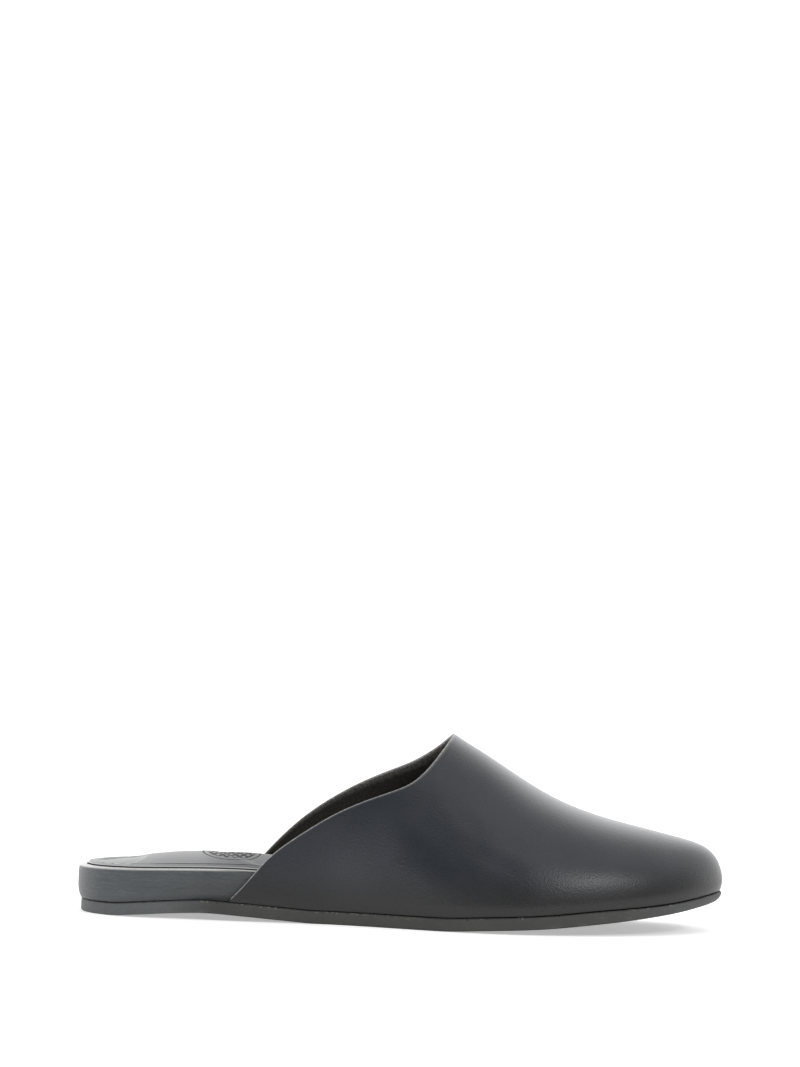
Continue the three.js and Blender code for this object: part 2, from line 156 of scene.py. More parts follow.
def edge_x(y, side):
    """x of the widest line of the shoe, side +1 outer and -1 inner."""
    back = np.clip(1 - (y - HEEL_Y) / HEEL_ROUND["length"], 0, 1)
    front = np.clip((y - TOE_ROUND["from"]) / (TOE_Y - TOE_ROUND["from"]), 0, 1)
    heel = (1 - back ** HEEL_ROUND["power"]) ** (1 / HEEL_ROUND["power"])
    power = np.where(side > 0, TOE_ROUND["outer"], TOE_ROUND["inner"])
    toe = np.sqrt(np.maximum(1 - front**power, 0))
    return middle(y) + side * reach(y, side) * heel * toe


def overhang(y):
    return OVERHANG["wing"] + (OVERHANG["toe"] - OVERHANG["wing"]) * blend(y, 90, 180)


def wall_inset(y):
    """How far the footbed's wall lies inside the widest line."""
    return overhang(y) + UPPER_WALL + PIECE_GAP


def outsole_inset(y):
    out = HEEL_UNDERCUT + UPPER_WALL + PIECE_GAP + OUTSOLE_LIP
    return wall_inset(y) + HEEL_UNDERCUT - out * blend(y, 38, 78)


def outline(inset):
    """The widest line moved inward by inset(y): from the heel round the outer side."""

    def point(turn):
        y = HEEL_Y + (TOE_Y - HEEL_Y) * (1 - np.cos(turn)) / 2
        return np.stack([edge_x(y, np.where(np.sin(turn) >= 0, 1, -1)), y], 1)

    turn = np.arange(2 * STATIONS) * math.pi / STATIONS
    here, along = point(turn), point(turn + 1e-4) - point(turn - 1e-4)
    along /= np.linalg.norm(along, axis=1)[:, None]
    return here + np.stack([-along[:, 1], along[:, 0]], 1) * inset(here[:, 1])[:, None]


def across(loop, columns):
    """Grid of points laid straight across a loop, from its outer to its inner side."""
    outer = loop[: STATIONS + 1]
    inner = np.concatenate([loop[:1], loop[: STATIONS - 1 : -1]])
    t = np.linspace(0, 1, columns + 1)[None, :, None]
    return outer[:, None] * (1 - t) + inner[:, None] * t


widest = outline(lambda y: 0 * y)
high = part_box("outsole")[1]
shift_x = high[0] / MM - outline(outsole_inset)[:, 0].max()
shift_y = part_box("footbed")[0][1] / MM


class Skin:
    """Points and faces of one piece, in the last's millimetres."""

    def __init__(self):
        self.points, self.faces, self.marks = [], [], {}

    def add(self, points, **marks):
        """Adds an array of points and returns an array of their numbers."""
        start = sum(len(p) for p in self.points)
        self.points.append(points.reshape(-1, 3))
        count = len(self.points[-1])
        for name, value in marks.items():
            flat = np.broadcast_to(value, points.shape[:-1]).reshape(-1)
            self.marks.setdefault(name, {})[start] = flat
        return np.arange(start, start + count).reshape(points.shape[:-1])

    def grid(self, rows):
        """Faces between neighbouring rows of point numbers."""
        a, b, c, d = rows[:-1, :-1], rows[:-1, 1:], rows[1:, 1:], rows[1:, :-1]
        self.faces += np.stack([a, b, c, d], -1).reshape(-1, 4).tolist()

    def tube(self, rings):
        """Faces of a stack of closed rings, the first one lowest."""
        rings = np.array(rings)
        self.grid(np.concatenate([rings, rings[:, :1]], 1))

    def lid(self, ring, grid, up=True):
        """Closes a ring with a grid laid across it; the grid's border is the ring."""
        grid[:, 0] = ring[: STATIONS + 1]
        grid[:, -1] = np.concatenate([ring[:1], ring[: STATIONS - 1 : -1]])
        grid[0], grid[-1] = ring[0], ring[STATIONS]
        self.grid(grid if up else grid[:, ::-1])

    def build(self, name, *materials):
        """The piece as a smooth mesh in the row's frame, in metres."""
        points = np.concatenate(self.points) + (shift_x, shift_y, 0)
        faces = []
        for face in self.faces:
            own = [v for i, v in enumerate(face) if v != face[i - 1]]
            if len(own) > 2:
                faces.append(own)
        mesh = bpy.data.meshes.new(name)
        mesh.from_pydata((points * MM).tolist(), [], faces)
        for mark, parts in self.marks.items():
            values = np.zeros(len(points), np.float32)
            for start, part in parts.items():
                values[start : start + len(part)] = part
            mesh.attributes.new(mark, "FLOAT", "POINT").data.foreach_set("value", values)
        mesh.shade_smooth()
        piece = bpy.data.objects.new(name, mesh)
        bpy.context.scene.collection.objects.link(piece)
        for material in materials:
            mesh.materials.append(material)
        return piece


class Wire:
    """One output of a material's nodes; arithmetic on it adds Math nodes."""

    def __init__(self, tree, socket=None):
        self.tree, self.socket = tree, socket

    def node(self, kind, settings=None, sockets=None, out=0):
        """Adds a node: its settings first, then values or links for its sockets."""
        made = self.tree.nodes.new("ShaderNode" + kind)
        for name, value in (settings or {}).items():
            if name == "stops":
                for i, (place, colour) in enumerate(value):
                    ramp = made.color_ramp.elements
                    stop = ramp[i] if i < len(ramp) else ramp.new(place)
                    stop.position, stop.color = place, (*colour, 1)
            else:
                setattr(made, name, value)
        for name, value in (sockets or {}).items():
            if isinstance(value, Wire):
                self.tree.links.new(value.socket, made.inputs[name])
            else:
                made.inputs[name].default_value = value
        return Wire(self.tree, made.outputs[out] if made.outputs else None)

    def math(self, operation, *values):
        return self.node("Math", {"operation": operation}, dict(enumerate((self, *values))))

    def __add__(self, other):
        return self.math("ADD", other)

    def __sub__(self, other):
        return self.math("SUBTRACT", other)

    def __rsub__(self, other):
        return self.node("Math", {"operation": "SUBTRACT"}, {0: other, 1: self})

    def __mul__(self, other):
        return self.math("MULTIPLY", other)

    def __truediv__(self, other):
        return self.math("DIVIDE", other)

    __radd__, __rmul__ = __add__, __mul__

    def clamp(self, low, high):
        """0 at low and below, 1 at high and above, smooth between."""
        settings = {"interpolation_type": "SMOOTHSTEP"}
        return self.node("MapRange", settings, {0: self, 1: low, 2: high})

    def tint(self, start, end):
        """From colour start at 0 to colour end at 1; either may be a wire."""
        ends = {6: start, 7: end}
        ends = {k: v if isinstance(v, Wire) else (*v, 1) for k, v in ends.items()}
        return self.node("Mix", {"data_type": "RGBA"}, {0: self, **ends}, 2)

    def vector(self, operation, other, out=0):
        return self.node("VectorMath", {"operation": operation}, {0: self, 1: other}, out)

    def counted_in(self, size, stretch=(1, 1, 1)):
        """A place in metres counted in steps of size millimetres, stretched along the axes."""
        return self.vector("MULTIPLY", tuple(1 / (size * MM * s) for s in stretch))

    def noise(self, size, detail=3, rough=0.55, stretch=(1, 1, 1)):
        """Fractal noise with features of about size millimetres."""
        sockets = {"Vector": self.counted_in(size, stretch), "Scale": 1.0}
        return self.node("TexNoise", None, {**sockets, "Detail": detail, "Roughness": rough})

    def cells(self, size):
        """Distance within cells of about size millimetres."""
        return self.node("TexVoronoi", None, {"Vector": self.counted_in(size), "Scale": 1.0})

    def mark(self, name):
        """A number stored at each point of the mesh."""
        return self.node("Attribute", {"attribute_name": name}, None, 2)

    def part(self, axis):
        """One coordinate of a vector: 0 for x, 1 for y, 2 for z."""
        return self.node("SeparateXYZ", None, {0: self}, axis)

    def bump(self, height_mm, under=None):
        """Normal of a surface raised by this wire times height_mm."""
        sockets = {"Height": self, "Distance": height_mm * MM, "Strength": 1.0}
        if under:
            sockets["Normal"] = under
        return self.node("Bump", None, sockets)


def new_material(name):
    """A material, the wire its nodes start from, and its object coordinates in metres."""
    material = bpy.data.materials.new(name)
    material.use_nodes = True
    tree = material.node_tree
    tree.nodes.clear()
    start = Wire(tree)
    return material, start, start.node("TexCoord", out=3)


def finish(start, sockets, even):
    """Ends a material: sockets may vary over the surface, even ones are the same all over."""
    shader = start.node("BsdfPrincipled", None, {**sockets, **even})
    start.node("OutputMaterial", None, {"Surface": shader})


def rubber_finish():
    material, start, at = new_material("outsole_rubber")
    top = start.mark("top")
    seam = start.mark("seam")
    dusty = start.mark("dusty")
    cloud = at.noise(22, detail=4)
    fine = at.noise(0.7, detail=3, rough=0.7)
    scuff = at.noise(9, detail=5, rough=0.7, stretch=(1, 1, 0.35)).clamp(0.55, 0.72)
    colour = cloud.clamp(0.3, 0.75).tint((0.046, 0.046, 0.044), (0.060, 0.060, 0.057))
    # Painted reflection: the edge is paler towards the heel and, less, towards the toe.
    colour = dusty.tint(colour, (0.112, 0.120, 0.121))
    colour = (scuff * 0.35).tint(colour, (0.13, 0.13, 0.125))
    colour = (fine.clamp(0.35, 0.7) * 0.25).tint(colour, (0.045, 0.045, 0.043))
    # Crumbs of rubber and dried glue hang on the knife-cut top edge, here and there.
    crumb = at.noise(1.0, detail=3, rough=0.7, stretch=(1.5, 1.5, 0.7)).clamp(0.50, 0.58)
    some = at.noise(11, detail=2).clamp(0.46, 0.56)
    glue = crumb * some * top * (1 - 0.5 * seam)
    nick = (1 - at.cells(3.2).clamp(0.10, 0.22)) * top
    # Painted shade: the nicks are darkened in their hollows.
    colour = (nick * 0.7).tint(colour, (0.018, 0.018, 0.018))
    # Painted shade: a dark glue joint at the top edge with painted shade under the upper, a painted contact
    # shadow along the bottom edge under the tread, and the top and under faces darkened all over.
    colour = (seam * 0.85).tint(colour, (0.008, 0.008, 0.008))
    colour = (glue * 0.8).tint(colour, (0.20, 0.20, 0.19))
    pits = at.cells(1.6).clamp(0.0, 0.35)
    normal = fine.bump(0.05, (pits * 0.03 + glue * 0.25 - nick * 0.2).bump(1.0))
    rough = 0.55 + 0.25 * cloud + 0.1 * fine
    finish(start, {"Base Color": colour, "Roughness": rough, "Normal": normal}, {"Specular IOR Level": 0.4})
    return material


def make_outsole():
    skin = Skin()
    arc = np.cumsum(np.linalg.norm(np.diff(widest, axis=0, prepend=widest[-1:]), axis=1))
    hand_cut = wander(arc, (61, 0.10, 0.2), (23, 0.06, 0.7), (9.7, 0.04, 0.4), (4.3, 0.03, 0.1))
    ragged = wander(arc, (3.1, 0.05, 0.3), (5.3, 0.05, 0.8), (2.3, 0.04, 0.6))
    rings = []

    def inset_at(share, inset):
        """The edge is skived to a rounded nose at the toe."""
        round_off = (1 - share) ** 2.6 + 0.5 * share**6
        nose = TOE_NOSE["depth"] * blend(widest[:, 1], TOE_NOSE["from"], TOE_NOSE["to"]) * round_off
        wobble = hand_cut * 4 * share * (1 - share) + ragged * (share > 0.9)
        return lambda y: outsole_inset(y) + inset + wobble + nose

    for share, inset in EDGE_PROFILE:
        loop = outline(inset_at(share, inset))
        y = loop[:, 1]
        # Painted light: the edge is paler towards the heel and the toe, a painted reflection; the top
        # edge is darkened as a glue seam with painted shade, the bottom edge under the tread as a painted
        # contact shadow.
        dusty = blend(y, 66, 34) + 0.3 * blend(y, 235, 270)
        seam = blend(share, 0.92, 0.99) + blend(share, 0.10, 0.03) * blend(y, 50, 90)
        points = np.column_stack([loop, underside(y) + share * thickness(y)])
        rings.append(skin.add(points, top=blend(share, 0.82, 0.9), dusty=dusty, seam=seam))
    skin.tube(rings)
    for end, surface in ((0, underside), (-1, feather)):
        flat = across(outline(inset_at(*EDGE_PROFILE[end])), 30)
        points = np.dstack([flat, surface(flat[..., 1])])
        skin.lid(rings[end], skin.add(points, seam=1), end == -1)
    piece = skin.build("outsole_sheet", rubber_finish())
    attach(piece, "root")
    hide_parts("outsole")


make_outsole()

# ---------------------------------------------------------------------------------------------
# Footbed: a light core wrapped in thin dark leather, which shows as the wall under the heel and
# waist. The wrap is pulled in at the bottom, puckers in fine level wrinkles along the wall and
# turns over a paler, rolled rim into the well that holds the insole. It is glued to the outsole.
# ---------------------------------------------------------------------------------------------
RIM = {
    "y": (-4, 16, 43, 62, 80, 105, 135, 165, 190, 215, 240, 263, 290),
    "z": (20.6, 21.1, 21.9, 22.3, 22.0, 19.6, 16.0, 13.7, 13.4, 14.7, 16.8, 19.8, 24.6),
}
WALL_SHAPE = {  # share of the wall's height, and how far it lies in from its fullest line
    "y": (0, 0.18, 0.4, 0.7, 0.88, 0.96, 1),
    "in": (1.3, 0.4, 0, 0, 0.1, 0.32, 0.9),
}
RIM_DROP = 0.42
RIM_WIDTH = 3.6
WELL_DEPTH = 2.2
RIM_ROLL = (  # how far in from the wall, and how far down from the rim's height
    (1.3, 0.34), (1.9, 0.18), (2.5, 0.02), (3.0, -0.1), (3.35, -0.14), (3.55, 0.02),
    (RIM_WIDTH, 0.5), (RIM_WIDTH, WELL_DEPTH),
)
WRINKLES = {"wide": 2.0, "tight": 1.15}
FOOTBED_DRAFT = 0.1
rim_height = smooth(RIM, "z")
wall_in = steady(WALL_SHAPE, "in")


def covered(y):
    """1 where the upper hides the footbed."""
    return blend(y, 55, 85)


def wrap_finish():
    material, start, at = new_material("footbed_leather")
    low = start.mark("low")
    rim = start.mark("rim")
    cloud = at.noise(26, detail=3)
    grain = at.cells(0.55)
    fine = at.noise(0.35, detail=2, rough=0.6)
    # Level wrinkles, fine and finer, which waver and come and go along the wall.
    level = at.vector("MULTIPLY", (0.8, 0.8, 1))
    bands = {"bands_direction": "Z", "wave_profile": "SIN"}
    loose = {"Vector": level, "Distortion": 8.0, "Detail": 3.0}
    loose.update({"Detail Scale": 0.8, "Detail Roughness": 0.6})
    # A wave texture's scale of 1 has a period of pi / 10 metres.
    scale = {name: math.pi / (10 * period * MM) for name, period in WRINKLES.items()}
    wide = start.node("TexWave", bands, {**loose, "Scale": scale["wide"]}, 1)
    tight = start.node("TexWave", bands, {**loose, "Scale": scale["tight"]}, 1)
    gathered = at.noise(7, detail=3, stretch=(1.6, 1.6, 0.5)).clamp(0.42, 0.62)
    hairs = at.noise(1.0, detail=4, rough=0.7, stretch=(2.8, 2.8, 0.55)).clamp(0.35, 0.7)
    waved = (wide * 0.3 + tight * 0.25 + hairs * 0.45) * (0.35 + 0.65 * gathered) * (1 - rim)
    colour = cloud.clamp(0.3, 0.75).tint((0.046, 0.054, 0.060), (0.061, 0.069, 0.075))
    # Painted sheen: the wrinkles and streaks are lighter where they are raised.
    colour = (waved * 0.6).tint(colour, (0.118, 0.128, 0.134))
    # Painted shade: the wall darkens at its foot and towards the waist.
    colour = (low * 0.9).tint(colour, (0.030, 0.032, 0.033))
    colour = rim.tint(colour, (0.33, 0.33, 0.32))
    normal = fine.bump(0.02, grain.bump(0.03, waved.bump(0.24)))
    rough = (0.30 + 0.16 * fine + 0.10 * cloud) * (1 - 0.35 * rim)
    finish(start, {"Base Color": colour, "Roughness": rough, "Normal": normal}, {"Specular IOR Level": 0.5})
    return material


def make_footbed():
    skin = Skin()
    rings = []

    def bottom(y):
        return feather(y) + PIECE_GAP

    for share in 1 - (1 - np.linspace(0, 1, 44)) ** 1.35:

        def height(y):
            return bottom(y) + share * (rim_height(y) - RIM_DROP - bottom(y))

        def inset(y):
            lean = FOOTBED_DRAFT * (height(y) - bottom(y)) * covered(y)
            foot = wall_in(share) * (1 - covered(y) * (share < 0.4))
            return wall_inset(y) + foot + lean + 0.8 * covered(y) * blend(share, 0.8, 1)

        loop = outline(inset)
        y = loop[:, 1]
        # Painted shade: darker at the foot of the wall, and all over it towards the waist under the upper's
        # wing.
        low = 0.5 * blend(share, 0.22, 0.02) + 0.3 * blend(share, 0.9, 0.3) * blend(y, 18, 48)
        low = np.minimum(low + 0.35 * blend(y, 34, 62), 1)
        points = np.column_stack([loop, height(y)])
        rings.append(skin.add(points, low=low, rim=blend(share, 0.965, 0.995)))
    for more, drop in RIM_ROLL:
        loop = outline(lambda y: wall_inset(y) + more + 0.8 * covered(y))
        points = np.column_stack([loop, rim_height(loop[:, 1]) - drop])
        rings.append(skin.add(points, rim=1.0 * (drop < 0.4)))
    skin.tube(rings)
    floor = across(outline(lambda y: wall_inset(y) + RIM_WIDTH + 0.8 * covered(y)), 12)
    skin.lid(rings[-1], skin.add(np.dstack([floor, rim_height(floor[..., 1]) - WELL_DEPTH])))
    base = across(outline(lambda y: wall_inset(y) + wall_in(0) * (1 - covered(y))), 12)
    skin.lid(rings[0], skin.add(np.dstack([base, bottom(base[..., 1])])), False)
    piece = skin.build("footbed_wrap", wrap_finish())
    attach(piece, "root")
    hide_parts("footbed")


make_footbed()

# ---------------------------------------------------------------------------------------------
# Insole: a padded sock of smooth leather over foam, glued into the footbed's well with a narrow
# groove round it, darkened with painted shade. Its edge is rolled and lightened with a painted
# highlight, the heel seat is dished behind a soft step, the arch is raised, and short pleats
# gather the leather round the back of the heel.
# ---------------------------------------------------------------------------------------------
CROWN = {
    "y": (-4, 8, 19, 28, 38, 55, 85, 130, 200, 290),
    "z": (0, 0.6, 2.0, 2.7, 3.75, 4.3, 4.4, 3.6, 2.4, 1.9),
}
SOCK_EDGE = (  # how far in from the side, height over the rim, painted shade and painted highlight
    (0, -1.3, 1, 0), (0, -0.3, 1, 0), (0, 0.2, 1, 0), (0, 0.48, 1, 0),
    (0.03, 0.62, 0.4, 0.6), (0.12, 0.77, 0, 1), (0.36, 0.97, 0, 0.9),
)
SOCK_BORDER = 4.2
SOCK_ROLL = (0.6, 0.9, 1.4, 2.1, 3.0, SOCK_BORDER)
SOCK_COLUMNS = 110
WELL_CLEARANCE = 0.5
HEEL_SEAT = {"front": 32, "sag": 10, "half": 30, "drop": 1.3, "ease": 4.5}
WAIST_STEP = {"y": 56, "slant": 0.9, "drop": 0.8, "ease": 9}
ARCH = {"y": 82, "x": -12, "length": 30, "half": 13, "rise": 1.4}
PLEATS = ((-58, 0.12), (-33, 0.16), (-12, 0.14), (14, 0.18), (33, 0.30), (46, 0.36), (61, 0.30))
OVAL = {"y": 68, "x": -1, "half_y": 13, "half_x": 19}
LATTICE = {"pitch": 3.8, "line": 0.75, "long": 0.4, "depth": 1.0}
crown_height = smooth(CROWN, "z")


def sock_finish():
    material, start, at = new_material("insole_leather")
    gap = start.mark("gap")
    worn = start.mark("worn")
    cloud = at.noise(30, detail=3)
    grain = at.cells(0.7)
    fine = at.noise(0.4, detail=2, rough=0.6)
    # A plain oval with a diamond lattice is pressed into the leather under the arch.
    centre = ((OVAL["x"] + shift_x) * MM, (OVAL["y"] + shift_y) * MM, 0)
    place = at.vector("SUBTRACT", centre)
    halves = (1 / (OVAL["half_x"] * MM), 1 / (OVAL["half_y"] * MM), 0)
    far = place.vector("MULTIPLY", halves).vector("LENGTH", (0, 0, 0), 1)
    ring = far.clamp(0.95, 0.97) - far.clamp(0.99, 1.01)
    x, y = place.part(0) * LATTICE["long"], place.part(1)
    half_pitch, line = LATTICE["pitch"] / 2 * MM, LATTICE["line"] * MM
    rising = 1 - (x + y).math("PINGPONG", half_pitch).clamp(line / 2, line)
    falling = 1 - (x - y).math("PINGPONG", half_pitch).clamp(line / 2, line)
    lattice = rising.math("MAXIMUM", falling) * (1 - far.clamp(0.78, 0.82))
    pressed = ring.math("MAXIMUM", lattice)
    colour = cloud.clamp(0.3, 0.75).tint((0.046, 0.049, 0.053), (0.061, 0.064, 0.068))
    waist = y.clamp(-18 * MM, 8 * MM)
    # Painted shade: the sock darkens towards the waist, under the upper's wing.
    colour = (waist * 0.5).tint(colour, (0.022, 0.024, 0.027))
    colour = (pressed * 0.8).tint(colour, (0.020, 0.021, 0.022))
    # Painted highlight: the rolled edge is lightened where it turns over.
    colour = (worn * 0.9).tint(colour, (0.48, 0.48, 0.48))
    # Painted shade: the sock's side wall in the groove is darkened almost to black.
    colour = gap.tint(colour, (0.005, 0.005, 0.005))
    normal = fine.bump(0.015, grain.bump(0.02, (0 - pressed).bump(LATTICE["depth"])))
    rough = 0.26 + 0.12 * fine + 0.08 * cloud + 0.4 * pressed + 0.12 * waist
    rough = rough * (1 - gap) + 0.9 * gap
    finish(start, {"Base Color": colour, "Roughness": rough, "Normal": normal}, {"Specular IOR Level": 0.5})
    return material


def sock_top(x, y, edge):
    """Height of the sock's top over its edge; edge is the distance to the nearest side."""
    ends = np.minimum((TOE_Y - 8 - y) / 30, 1).clip(0, 1)
    side = np.where(x > middle(y), 1, -1)
    width = (np.abs(edge_x(y, side) - middle(y)) - 6.6).clip(5)
    u = ((x - middle(y)) / width).clip(-1, 1)
    hump = crown_height(y) * (1 - np.abs(u) ** 1.75) * np.sqrt(1 - (1 - ends) ** 2)
    seat_front = HEEL_SEAT["front"] - HEEL_SEAT["sag"] * (x / HEEL_SEAT["half"]) ** 2
    seat = 1 - blend(y, seat_front - HEEL_SEAT["ease"], seat_front)
    height = hump - seat * HEEL_SEAT["drop"] * blend(edge, 0.5, 9)
    step = WAIST_STEP["y"] + WAIST_STEP["slant"] * x.clip(0)
    height -= WAIST_STEP["drop"] * blend(y, step, step + WAIST_STEP["ease"]) * blend(edge, 1, 8)
    off = ((x - ARCH["x"]) / ARCH["half"]) ** 2 + ((y - ARCH["y"]) / ARCH["length"]) ** 2
    height += ARCH["rise"] * np.exp(-off) * blend(edge, 0, 8)
    angle = np.degrees(np.arctan2(x, 36 - y))
    for place, depth in PLEATS:
        groove = np.exp(-(((angle - place) / 2.6) ** 2)) - 0.5 * np.exp(-(((angle - place) / 6) ** 2))
        height -= depth * groove * blend(edge, 0.2, 2.5) * (1 - blend(edge, 7, 15)) * (y < 36)
    return height


def make_insole():
    skin = Skin()

    def side(y):
        return wall_inset(y) + RIM_WIDTH + WELL_CLEARANCE + 0.8 * covered(y)

    def ring(more, rise, **marks):
        loop = outline(lambda y: side(y) + more)
        return skin.add(np.column_stack([loop, rim_height(loop[:, 1]) + rise(loop)]), **marks)

    rings = [ring(0.3, lambda p: PIECE_GAP - WELL_DEPTH, gap=1)]
    for more, rise, gap, worn in SOCK_EDGE:
        rings.append(ring(more, lambda p: rise, gap=gap, worn=worn))
    under = across(outline(lambda y: side(y) + 0.3), 12)
    points = np.dstack([under, rim_height(under[..., 1]) + PIECE_GAP - WELL_DEPTH])
    skin.lid(rings[0], skin.add(points), False)
    rim_in, stand = SOCK_EDGE[-1][:2]

    def crown(p):
        return stand + sock_top(p[:, 0], p[:, 1], np.full(len(p), more - rim_in))

    for more in SOCK_ROLL:
        rings.append(ring(more, crown))
    skin.tube(rings)
    inner = outline(lambda y: side(y) + SOCK_BORDER)
    top = across(inner, SOCK_COLUMNS)
    width = np.linalg.norm(top[:, 0] - top[:, -1], axis=1)[:, None]
    share = np.linspace(0, 1, SOCK_COLUMNS + 1)
    sides = np.minimum(share, share[::-1]) * width
    ends = np.minimum(top[..., 1] - inner[0, 1], inner[STATIONS, 1] - top[..., 1])
    rise = stand + sock_top(top[..., 0], top[..., 1], SOCK_BORDER - rim_in + np.minimum(sides, ends))
    skin.lid(rings[-1], skin.add(np.dstack([top, rim_height(top[..., 1]) + rise])))
    piece = skin.build("insole_sock", sock_finish())
    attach(piece, "root")
    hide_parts("insole")


make_insole()

# ---------------------------------------------------------------------------------------------
# Upper: one piece of smooth navy-black leather, 1.8 mm thick and unlined, pulled over the last
# and glued down outside the footbed. The topline is a raw knife cut from wing to wing, and the
# flesh side shows inside, dark brown and rough.
# ---------------------------------------------------------------------------------------------
WING_Y, THROAT_Y = 68.4, 165.6
RIDGE = {
    "y": (60, 100, 140, 168.2, 179.2, 193.9, 208.5, 223.1, 237.6, 252, 266.5, 290),
    "z": (130, 119, 101.5, 82.3, 75.8, 66.7, 58.3, 52.1, 47.8, 44.5, 41.2, 36.2),
}
RIDGE_X = {"x": -5.5, "toe_shift": -1.5, "from": 230}
TOE_BOX = {"length": 45, "power": 9.6, "round": 1 / 2.2}
SECTION = {  # powers of each section, across and up; two and two is an ellipse
    "y": (60, 100, 150, 172, 200, 240, 290),
    "across": (2.0, 2.0, 2.0, 2.0, 2.1, 2.3, 2.3),
    "up": (2.0, 2.0, 1.6, 1.55, 1.8, 2.1, 2.2),
}
TOPLINE = {
    "y": (75, 84, 97.5, 111.6, 125.8, 140, 148, 154.5, 161),
    "outer": (15.6, 26.4, 37.7, 47.0, 54.2, 59.9, 64.0, 69.9, 77.9),
    "inner": (16.4, 27.2, 41.2, 51.9, 60.1, 66.5, 70.2, 74.2, 79.3),
}
OVERHANG_HEIGHT = 6
CREASES = (  # from and to as y and z, outer side +1 or inner -1, width and depth
    ((146, 66), (171, 30), 1, 9, 0.50),
    ((128, 52), (140, 14), 1, 8, 0.35),
    ((163, 58), (176, 44), 1, 3.5, 0.20),
    ((176, 36), (196, 26), 1, 4.0, 0.22),
    ((186, 42), (205, 33), 1, 3.5, 0.16),
    ((150, 70), (178, 34), -1, 9, 0.45),
    ((130, 56), (146, 16), -1, 8, 0.35),
    ((180, 38), (202, 27), -1, 4.0, 0.22),
)
ROUND_STEPS, UP_STEPS = 400, 100
ROW_CROWDING = 1.2
EDGE_ROWS = (0.991, 0.997, 1)
WING_TIP = 0.5
CUT_CORNER = 0.35

ridge_height = smooth(RIDGE, "z")
power_across, power_up = steady(SECTION, "across"), steady(SECTION, "up")


def upper_bottom(y):
    return feather(y) + PIECE_GAP


def ridge_x(y):
    return RIDGE_X["x"] + RIDGE_X["toe_shift"] * blend(y, RIDGE_X["from"], TOE_Y)


def section_height(y):
    t = np.clip((y - TOE_Y + TOE_BOX["length"]) / TOE_BOX["length"], 0, 1)
    return (ridge_height(y) - upper_bottom(y)) * (1 - t ** TOE_BOX["power"]) ** TOE_BOX["round"]


def last_level(x, y, z):
    """Zero on the outside of the last, negative inside."""
    side = np.where(x > ridge_x(y), 1, -1)
    share = np.abs(x - ridge_x(y)) / np.abs(edge_x(y, side) - ridge_x(y))
    up = np.clip((z - upper_bottom(y)) / section_height(y), 0, 2)
    return share ** power_across(y) + up ** power_up(y) - 1


def last_height(x, y):
    """Height of the last's outside over a point of its plan."""
    side = np.where(x > ridge_x(y), 1, -1)
    width = np.maximum(np.abs(edge_x(y, side) - ridge_x(y)), 1e-6)
    share = np.clip(np.abs(x - ridge_x(y)) / width, 0, 1)
    return upper_bottom(y) + section_height(y) * (1 - share ** power_across(y)) ** (1 / power_up(y))


def last_x(y, z, side):
    up = np.clip((z - upper_bottom(y)) / section_height(y), 0, 1)
    share = (1 - up ** power_up(y)) ** (1 / power_across(y))
    return ridge_x(y) + (edge_x(y, side) - ridge_x(y)) * share


def last_normal(p):
    """Outward direction of the last, from the slope of its level."""
    step = 0.02
    x, y, z = p[..., 0], np.minimum(p[..., 1], TOE_Y - 3 * step), p[..., 2]
    slope = np.stack(
        [
            last_level(x + step, y, z) - last_level(x - step, y, z),
            last_level(x, y + step, z) - last_level(x, y - step, z),
            last_level(x, y, z + step) - last_level(x, y, z - step),
        ],
        -1,
    )
    return slope / np.linalg.norm(slope, axis=-1, keepdims=True)


def upper_grid():
    """Points up the outside of the upper, from the bottom edge to the topline."""
    turn = np.linspace(1, -1, ROUND_STEPS + 1)
    side = np.where(turn >= 0, 1, -1)
    sweep = np.sin((1 - np.abs(turn)) * math.pi / 2)
    ends = {"y": (WING_Y, *TOPLINE["y"], THROAT_Y)}
    for name in ("outer", "inner"):
        low, top = float(upper_bottom(WING_Y)), float(ridge_height(THROAT_Y))
        ends[name] = (low, *TOPLINE[name], top)
    top_y = WING_Y + WING_TIP + (THROAT_Y - WING_Y - WING_TIP) * sweep
    top_z = np.where(side > 0, smooth(ends, "outer")(top_y), smooth(ends, "inner")(top_y))
    top_x = last_x(top_y, np.minimum(top_z, ridge_height(top_y)), side)
    low_y = WING_Y + (TOE_Y - WING_Y) * sweep
    low_x = edge_x(low_y, side)

    def straight(x, y):
        return (x - middle(y)) / reach(y, np.where(x > middle(y), 1, -1))

    t = np.linspace(0, 1, 241)[None, :] ** 2
    y = low_y[:, None] * (1 - t) + top_y[:, None] * t
    v = straight(low_x, low_y)[:, None] * (1 - t) + straight(top_x, top_y)[:, None] * t
    x = middle(y) + v * reach(y, v)
    z = last_height(x, y)
    z[:, 0] = upper_bottom(low_y)
    path = np.stack([x, y, z], -1)
    length = np.zeros(x.shape)
    length[:, 1:] = np.cumsum(np.linalg.norm(np.diff(path, axis=1), axis=2), axis=1)
    share = np.linspace(0, 1, UP_STEPS + 1) ** ROW_CROWDING
    share[-len(EDGE_ROWS) :] = EDGE_ROWS
    grid = np.empty((ROUND_STEPS + 1, UP_STEPS + 1, 3))
    for i in range(ROUND_STEPS + 1):
        for k in range(3):
            grid[i, :, k] = np.interp(share * length[i, -1], length[i], path[i, :, k])
    return grid


